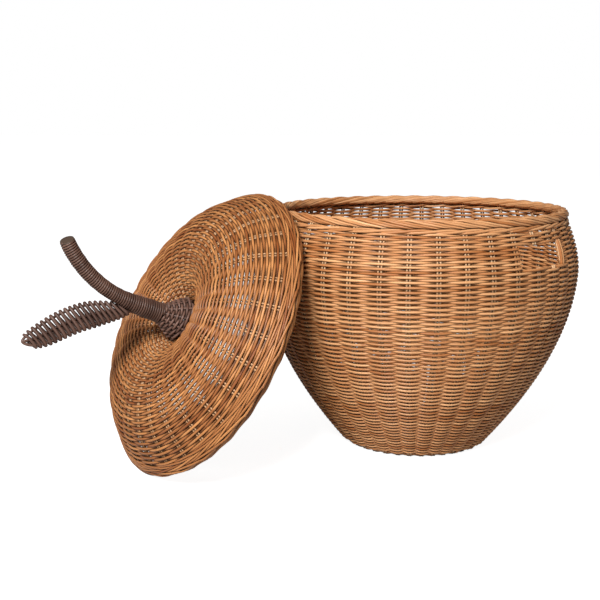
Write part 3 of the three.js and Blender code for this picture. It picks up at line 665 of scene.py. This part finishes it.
# The lid is a dome with a dimple, woven like the wall over pairs of ribs. It
# leans on the basket's rim, and it is a little wider one way than the other.
LID_CENTRE = np.array([-0.32615, -0.09847, 0.19488])
TILT, BEARING = np.radians(60.55), np.radians(29.8)
LID_X = np.array([np.sin(BEARING), -np.cos(BEARING), 0.0])
LID_Z = np.array([-np.cos(BEARING) * np.sin(TILT), -np.sin(BEARING) * np.sin(TILT), np.cos(TILT)])
LID_Y = np.cross(LID_Z, LID_X)
LID_AXES = np.stack([LID_X, LID_Y, LID_Z])
LONG_WAY, LONGER, SHORTER = np.radians(147), 1.025, 0.975
long_axis = np.array([np.cos(LONG_WAY), np.sin(LONG_WAY), 0.0])
cross_axis = np.array([-np.sin(LONG_WAY), np.cos(LONG_WAY), 0.0])
OVAL = LONGER * np.outer(long_axis, long_axis) + SHORTER * np.outer(cross_axis, cross_axis)
OVAL[2, 2] += 1
LID_DEPTH, LID_PAIRS, LID_PAIR_SHARE, LID_FIRST_PAIR = 0.0040, 31, 0.17, 0.384
# Radius and height in millimetres, from the rim over the crest into the dimple.
lid_corners = np.array([
    [226.6, 0], [228.1, 8], [212.05, 26.5], [184, 53], [144, 70.5],
    [104, 75], [69, 66.25], [34, 45], [26, 43],
]) / 1000
lid_stake_cane = cane_finish("lid_stake_cane", (0.90, 0.52, 0.26), (0.58, 0.27, 0.105), 0.80)


def smooth_through(corners, per_span):
    """A smooth curve through corners: each span is the cubic whose slopes at both ends are half
    the step between the corners on either side."""
    extended = np.vstack([2 * corners[0] - corners[1], corners, 2 * corners[-1] - corners[-2]])
    share = np.linspace(0, 1, per_span, endpoint=False)[:, None]
    spans = []
    for first in range(len(corners) - 1):
        before, start, end, after = extended[first:first + 4]
        lean, leave = (end - before) / 2, (after - start) / 2
        cubic = (2 * start - 2 * end + lean + leave) * share ** 3
        square = (3 * end - 3 * start - 2 * lean - leave) * share ** 2
        spans.append(cubic + square + lean * share + start)
    return np.vstack(spans + [corners[-1:]])


def on_lid(points, normals, oval=True):
    """Points and normals of the upright lid, made oval, tipped over and set against the basket:
    the points times the oval and the lid's axes, plus its centre, and the normals times the
    oval's inverse and the axes."""
    if oval:
        points, normals = points @ OVAL, normals @ np.linalg.inv(OVAL)
    return points @ LID_AXES + LID_CENTRE, normals @ LID_AXES


def lid_turn(pair):
    """The turn of a pair of the lid: even steps, from a first pair a little past the front."""
    return 2 * np.pi * (pair + LID_FIRST_PAIR) / LID_PAIRS


lid_curve = smooth_through(lid_corners, 40)
LID = inset_outline(lid_curve[:, 0], lid_curve[:, 1], LID_DEPTH)
LID_END = LID["length"][-1]
rib_paths = []
for pair in range(LID_PAIRS):
    for side in (-1, 1):
        length = np.linspace(0.0, LID_END, 44)
        radius = np.interp(length, LID["length"], LID["radius"])
        gap = pair_gap(radius, LID_PAIRS, LID_PAIR_SHARE)
        rib = on_lid(*on_round(LID, length, lid_turn(pair) + side * gap / radius, 0.0))
        rib_paths.append(rib + (np.minimum(STAKE, gap * 0.9),))
ribs = cane_rods("lid_ribs", rib_paths, lid_stake_cane)
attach(ribs, "lid")

# The lid's weave is one cane, wound from the rim over the crest and down into
# the dimple, in front of one pair of ribs and behind the next.
LID_CANE, LID_SWING, LID_ROW, LID_LOW = 0.00218, 0.0021, 0.0037, 0.0215
LID_WANDER, LID_SQUEEZE = 0.0005, 0.22
LID_ROWS = int((LID_END - LID_LOW) / LID_ROW)
SIDE_SHARE, CROWN_SHARE = 0.36, 0.72
lid_cane = cane_finish("lid_cane", (0.80, 0.346, 0.114), (0.31, 0.086, 0.018), 1.03)


def lid_weaver(first, last):
    """A weaver of the lid from one row to another. Its swing and its radius shrink with the
    lid's radius under 60 millimetres, where the pairs draw together."""
    pair = np.linspace(first * LID_PAIRS, last * LID_PAIRS, (last - first) * LID_PAIRS * STEPS + 1)
    row = pair / LID_PAIRS
    length = LID_LOW + LID_ROW * row + wander(row, 7, LID_WANDER)
    radius = np.interp(length, LID["length"], LID["radius"])
    slim = np.clip(radius / 0.060, 0.70, 1.0)
    wave = bent_over(pair)
    points, normals = on_lid(*on_round(LID, length, lid_turn(pair), LID_SWING * slim * wave))
    return points, normals, tapered(pair, LID_CANE * np.maximum(slim, 0.85), wave, LID_SQUEEZE)


side_rows, crown_rows = int(LID_ROWS * SIDE_SHARE), int(LID_ROWS * CROWN_SHARE)
for node, first, last in (
    ("lid_weave_side", 0, side_rows),
    ("lid_weave_crown", side_rows, crown_rows),
    ("lid_dimple_weave", crown_rows, LID_ROWS),
):
    weave = cane_rods(node + "_canes", [lid_weaver(first, last)], lid_cane)
    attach(weave, "lid")
    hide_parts(node)

# Towards its edge the lid has three rope rows like the one under the basket's
# rim. They lie flatter, and they twist to and fro by turns.
LID_ROPE, LID_ROPE_LOW, LID_ROPE_ROW, LID_ROPE_FLAT = 0.0020, 0.0065, 0.0055, 0.65
wale_paths = []
for row in range(3):
    for pair, rise, lift in rope_lines(LID_PAIRS, 1 if row % 2 else -1, 0.7 * row):
        length = LID_ROPE_LOW + LID_ROPE_ROW * row + rise
        strand = on_lid(*on_round(LID, length, lid_turn(pair), LID_ROPE_FLAT * lift))
        wale_paths.append(strand + (LID_ROPE,))
lid_wale = cane_rods("lid_wale_canes", wale_paths, lid_cane, closed=True)
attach(lid_wale, "lid")
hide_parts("lid_wale")

# The lid's rim is rolled like the basket's, round a hoop of its own. Its cane is
# the weave's colour made darker, as painted shade on the rim.
LID_RIM_RADIUS, LID_SWEEPS = 0.2156, ((-120, 66), (-60, -225))
lid_border_shaded_cane = cane_finish("lid_border_shaded_cane", (0.52, 0.225, 0.072), (0.235, 0.068, 0.015), 0.86)


def lid_rim(turn):
    """The middle of the lid's rim as a function of the turn: a circle made oval in the rim's
    plane, with its outward axis and the lid's own axis."""
    out = np.stack([np.sin(turn), -np.cos(turn), 0 * turn], 1)
    points, away = on_lid(LID_RIM_RADIUS * out, out)
    away /= np.linalg.norm(away, axis=1)[:, None]
    return points, away, np.broadcast_to(LID_Z, points.shape)


lid_rim_paths = rolled_canes(lid_rim, LID_PAIRS, LID_SWEEPS, ROLL_SPAN, ROLL_REACH, ROLL_CANE)
lid_hoop_path = hidden_hoop(lid_rim, ROLL_HOOP)
lid_roll = cane_rods("lid_rim_roll", lid_rim_paths, lid_border_shaded_cane)
lid_hoop = cane_rods("lid_rim_hoop", lid_hoop_path, lid_border_shaded_cane, sides=8, closed=True)
for piece, node in ((lid_roll, "lid_border"), (lid_hoop, "lid_hoop")):
    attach(piece, "lid")
    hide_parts(node)

# In the middle of the dimple the ribs cross in a flat knot under the socket,
# and a thin cane is woven round them.
HUB_HEIGHT, HUB_CANE, HUB_SWING = 0.0405, 0.0015, 0.002
HUB_START, HUB_END, HUB_ROW, HUB_RIBS = 0.005, 0.034, 0.003, 21
hub = flat_disc(0.003, HUB_END, HUB_HEIGHT, 20)
hub_rounds = (HUB_END - HUB_START) / HUB_ROW
hub_turns = on_round(hub, *spiral(HUB_START, HUB_ROW, HUB_RIBS, hub_rounds, HUB_SWING))
hub_canes = cane_rods("lid_hub_canes", [on_lid(*hub_turns) + (HUB_CANE,)], lid_cane)
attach(hub_canes, "lid")
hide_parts("lid_hub")

# The socket is a cone of dark cane woven over its own ribs. It grips the foot
# of the stem and is tied down over the dimple.
SOCKET_BASE, SOCKET_RISE, SOCKET_LEAN = 0.0443, 0.035, 0.006
SOCKET_WIDE, SOCKET_NARROW, SOCKET_DEPTH = 0.033, 0.0144, 0.0020
SOCKET_RIBS, SOCKET_ROW, SOCKET_CANE = 11, 0.0036, 0.0019
SOCKET_START, SOCKET_SWING = 0.001, 0.0024
socket_cane = cane_finish("socket_cane", (0.30, 0.165, 0.122), (0.095, 0.046, 0.033), 0.80)
share = np.linspace(0, 1, 60)
shape = np.interp(share, [0, 0.15, 0.5, 0.75, 1.0], [1, 0.97, 0.55, 0.2, 0])
socket_radius = SOCKET_NARROW + (SOCKET_WIDE - SOCKET_NARROW) * shape
SOCKET = inset_outline(socket_radius, SOCKET_BASE + SOCKET_RISE * share, SOCKET_DEPTH)
SOCKET_END = SOCKET["length"][-1]


def on_socket(length, turn, lift):
    """Points of the socket's cone, which leans in step with its height."""
    points, normals = on_round(SOCKET, length, turn, lift)
    points[:, 1] -= SOCKET_LEAN * (points[:, 2] - SOCKET_BASE) / SOCKET_RISE
    return on_lid(points, normals, oval=False)


socket_rounds = (SOCKET_END - SOCKET_START) / SOCKET_ROW
socket_turns = spiral(
    SOCKET_START, SOCKET_ROW, SOCKET_RIBS, socket_rounds, SOCKET_SWING, steps=10
)
socket_paths = [on_socket(*socket_turns) + (SOCKET_CANE,)]
for number in range(SOCKET_RIBS):
    turn = np.full(12, 2 * np.pi * number / SOCKET_RIBS)
    rib = on_socket(np.linspace(0, SOCKET_END, 12), turn, 0.0)
    socket_paths.append(rib + (SOCKET_CANE,))
socket = cane_rods("stem_socket_canes", socket_paths, socket_cane, sides=8)
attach(socket, "lid")
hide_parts("stem_socket")

# The stem is a bent rod wound from end to end with close turns of dark cane,
# thicker near the socket, where the winding also takes in the leaf's stalk.
STEM_LOW, STEM_LENGTH = 0.0793, 0.175
STEM_BEND, STEM_BACK, STEM_SET, STEM_CURL = 0.0695, 0.035, 0.006, 0.0024
STEM_TURN, STEM_CANE, STEM_UNEVEN = 0.00352, 0.00174, 0.0002
STEM_THICK, STEM_THIN = 0.0098, 0.0057
NECK_START, NECK_LENGTH = 0.008, 0.072
ROD_COVER, WINDING_COVER = 0.0030, 0.0057  # over the core: the rod's skin, the winding's outside
dark_cane = cane_finish("dark_cane", (0.185, 0.098, 0.070), (0.055, 0.025, 0.017), 0.72)


def stem_middle(share):
    """The stem's centre line in the lid's own axes: straight along the height, bent across it by
    the difference of two powers, and turned to the front in its last centimetre by a square."""
    across = STEM_BEND * share ** 2.6 - STEM_BACK * share ** 1.3 - STEM_SET
    front = STEM_CURL * np.clip((share - 0.92) / 0.08, 0, None) ** 2
    return np.stack([front, across, STEM_LOW + STEM_LENGTH * share], 1)


stem_line = stem_middle(np.linspace(0, 1, 400))
stem_steps = np.linalg.norm(np.diff(stem_line, axis=0), axis=1)
stem_reach = np.concatenate([[0.0], np.cumsum(stem_steps)])
STEM_END = stem_reach[-1]


def along_stem(length):
    """Points of the stem's centre line at a length along it, by straight lines."""
    return np.stack([np.interp(length, stem_reach, stem_line[:, axis]) for axis in range(3)], 1)


def stem_at(length):
    """Place and two cross axes of the stem at a length along it: the lid's first axis, and the
    cross product of that with the way from a millimetre behind to a millimetre ahead."""
    points = along_stem(length)
    forward = along_stem(length + 0.001) - along_stem(length - 0.001)
    forward /= np.linalg.norm(forward, axis=1)[:, None]
    side = np.tile([1.0, 0.0, 0.0], (len(points), 1))
    return points, side, np.cross(forward, side)


def stem_core(length):
    """The radius of the stem's core: a smooth step from the thick foot to the thin end."""
    step = np.clip((length - NECK_START) / NECK_LENGTH, 0, 1)
    return STEM_THICK + (STEM_THIN - STEM_THICK) * step ** 2 * (3 - 2 * step)


def dark_rod(points, normals, radius):
    """A path for cane_rods from a line in the upright lid's own axes, without the lid's oval."""
    return on_lid(points, normals, oval=False) + (radius,)


turns = (STEM_END - STEM_CANE) / STEM_TURN
angle = np.linspace(0, 2 * np.pi * turns, int(turns * 16) + 1)
length = STEM_TURN * angle / (2 * np.pi)
points, side, up = stem_at(length)
away = side * np.cos(angle)[:, None] + up * np.sin(angle)[:, None]
uneven = STEM_UNEVEN * np.sin(0.23 * angle) * np.sin(0.041 * angle)
winding_radius = stem_core(length) + WINDING_COVER - STEM_CANE + uneven
winding_path = dark_rod(points + away * winding_radius[:, None], away, STEM_CANE)
stem_winding = cane_rods("stem_winding_cane", [winding_path], dark_cane)
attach(stem_winding, "lid")
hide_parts("stem_binding")

length = np.linspace(0.0, STEM_END - 0.004, 60)
points, side, _ = stem_at(length)
rod_path = dark_rod(points, side, stem_core(length) + ROD_COVER)
stem_rod = cane_rods("stem_rod_cane", [rod_path], dark_cane, sides=14)
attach(stem_rod, "lid")
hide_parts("stem_rod")

# The stem ends in a plug of cut cane, a dull flat face inside the last turn of
# the winding.
PLUG_INSIDE = np.array([0.0070, 0.0012, 0.0003, 0.0])  # how far its rings lie inside the end
PLUG_RADII = np.array([0.0090, 0.0101, 0.0101, 0.0094])
CUT_PALE, CUT_DEEP = (0.115, 0.074, 0.052), (0.062, 0.038, 0.026)
cut_cane = cane_finish("cut_cane", CUT_PALE, CUT_DEEP, 0.72, relief=0.8)
points, side, _ = stem_at(STEM_END - PLUG_INSIDE)
plug = cane_rods("stem_end", [dark_rod(points, side, PLUG_RADII)], cut_cane, sides=28)
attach(plug, "lid")
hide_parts("stem_end_plug")

# The leaf is a long loop of rod with a midrib, wound across with dark cane in
# open turns that stand proud as bumps along both edges.
LEAF_LENGTH, LEAF_HALF, LEAF_BOW, LEAF_ROD = 0.157, 0.015, 0.009, 0.0020
DROOP, ROLL = np.radians(40.7), np.radians(25)
FORK, FORK_DROP, FORK_RISE, FORK_BACK = 0.042, 0.0179, 0.013, 0.010
LEAF_TURNS, LEAF_PROUD, LEAF_LIFT, LEAF_SLANT = 20, 0.0036, 0.0031, 0.042
leaf_along = np.array([0.0, -np.sin(DROOP), np.cos(DROOP)])
leaf_across = np.array([0.0, np.cos(DROOP), np.sin(DROOP)])
flat_across = np.cos(ROLL) * leaf_across + np.sin(ROLL) * np.cross(leaf_along, leaf_across)
leaf_face = np.cross(leaf_along, flat_across)
leaf_down = np.array([0.0, -1.0, 0.0])
fork = along_stem(np.array([FORK]))[0]
leaf_base = fork + leaf_down * FORK_DROP + np.array([0, 0, FORK_RISE]) - FORK_BACK * leaf_along


def leaf_half(share):
    """Half the blade's width: one less a cube, to the power 0.6, which is a long oval, narrowed
    by 28 percent towards the stem."""
    narrowed = 0.72 + 0.28 * np.minimum(share / 0.35, 1.0)
    return LEAF_HALF * (1 - np.abs(2 * share - 1) ** 3) ** 0.6 * narrowed


def leaf_point(share, across, lift):
    """A point of the blade: along its length, across it by a share of its half width, bowed
    sideways by a sine that fades at the tip, and lifted off its face."""
    bow = LEAF_BOW * np.sin(1.15 * np.pi * share) * (1 - share ** 6)
    half = leaf_half(share)
    points = leaf_base + leaf_along * (LEAF_LENGTH * share)[:, None]
    return points + flat_across * (across * half + bow)[:, None] + leaf_face * lift[:, None]


def leaf_rod(line):
    """A rod of the leaf along a line, with the leaf's face as its normal."""
    return dark_rod(line, np.broadcast_to(leaf_face, line.shape), LEAF_ROD)


ease = 0.5 - 0.5 * np.cos(np.linspace(0, np.pi, 60))
zeros = np.zeros(60)
to_tip, from_tip = leaf_point(ease, zeros + 1, zeros), leaf_point(ease[::-1], zeros - 1, zeros)
edge_line = np.vstack([to_tip, from_tip[1:-1]])
leaf_edge = cane_rods("leaf_edge_cane", [leaf_rod(edge_line)], dark_cane, sides=8, closed=True)
middle_line = leaf_point(np.linspace(0.0, 1.0, 40), np.zeros(40), np.zeros(40))
leaf_middle = cane_rods("leaf_midrib_cane", [leaf_rod(middle_line)], dark_cane, sides=8)

# The leaf's winding is one cane: a flat coil whose section is a squared oval, a
# little slanted, with its last turns closer and thinner towards the tip.
angle = np.linspace(0, 2 * np.pi * LEAF_TURNS, LEAF_TURNS * 28 + 1)
along = np.interp(angle / angle[-1], [0, 0.93, 1], [0.03, 0.90, 0.955])
leaf_cane = np.interp(along, [0, 0.84, 0.96], [0.0026, 0.0026, 0.0019])
share = np.clip(along + LEAF_SLANT * np.sin(angle), 0.015, 0.985)
half = leaf_half(share)
across = np.sin(angle) * (half + LEAF_PROUD) / half
squared = (np.abs(np.cos(angle)) ** 4 + np.abs(np.sin(angle)) ** 4) ** 0.25
wind_line = leaf_point(share, across, LEAF_LIFT * np.cos(angle) / squared)
outward = leaf_face * np.cos(angle)[:, None] + flat_across * np.sin(angle)[:, None]
wind_path = dark_rod(wind_line, outward, leaf_cane)
leaf_winding = cane_rods("leaf_winding_cane", [wind_path], dark_cane, sides=8)

# The leaf's stalk is three rods laid together. They run down from the blade to
# the underside of the stem, where the stem's winding takes them in.
STALK_SEAT, STALK_BLADE, STALK_KNEE = 0.024, 0.06, -0.006
seat_middle = along_stem(np.array([STALK_SEAT]))[0]
seat_below = seat_middle + leaf_down * (stem_core(STALK_SEAT) + ROD_COVER)
knee_middle = leaf_base + leaf_along * STALK_KNEE
share = np.linspace(0, 1, 24)[:, None]
stalk_paths = []
for beside in (-1, 0, 1):
    blade = leaf_point(np.array([STALK_BLADE]), np.array([0.55 * beside]), np.zeros(1))[0]
    seat = seat_below + flat_across * 0.002 * beside
    knee = knee_middle + flat_across * 0.0024 * beside
    stalk_line = (1 - share) ** 2 * seat + 2 * share * (1 - share) * knee + share ** 2 * blade
    stalk_paths.append(leaf_rod(stalk_line))
leaf_stalk = cane_rods("leaf_stalk_canes", stalk_paths, dark_cane, sides=8)
for piece, node in (
    (leaf_edge, "leaf_edge_rod"),
    (leaf_middle, "leaf_midrib"),
    (leaf_winding, "leaf_winding"),
    (leaf_stalk, "leaf_stalk"),
):
    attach(piece, "lid")
    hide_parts(node)
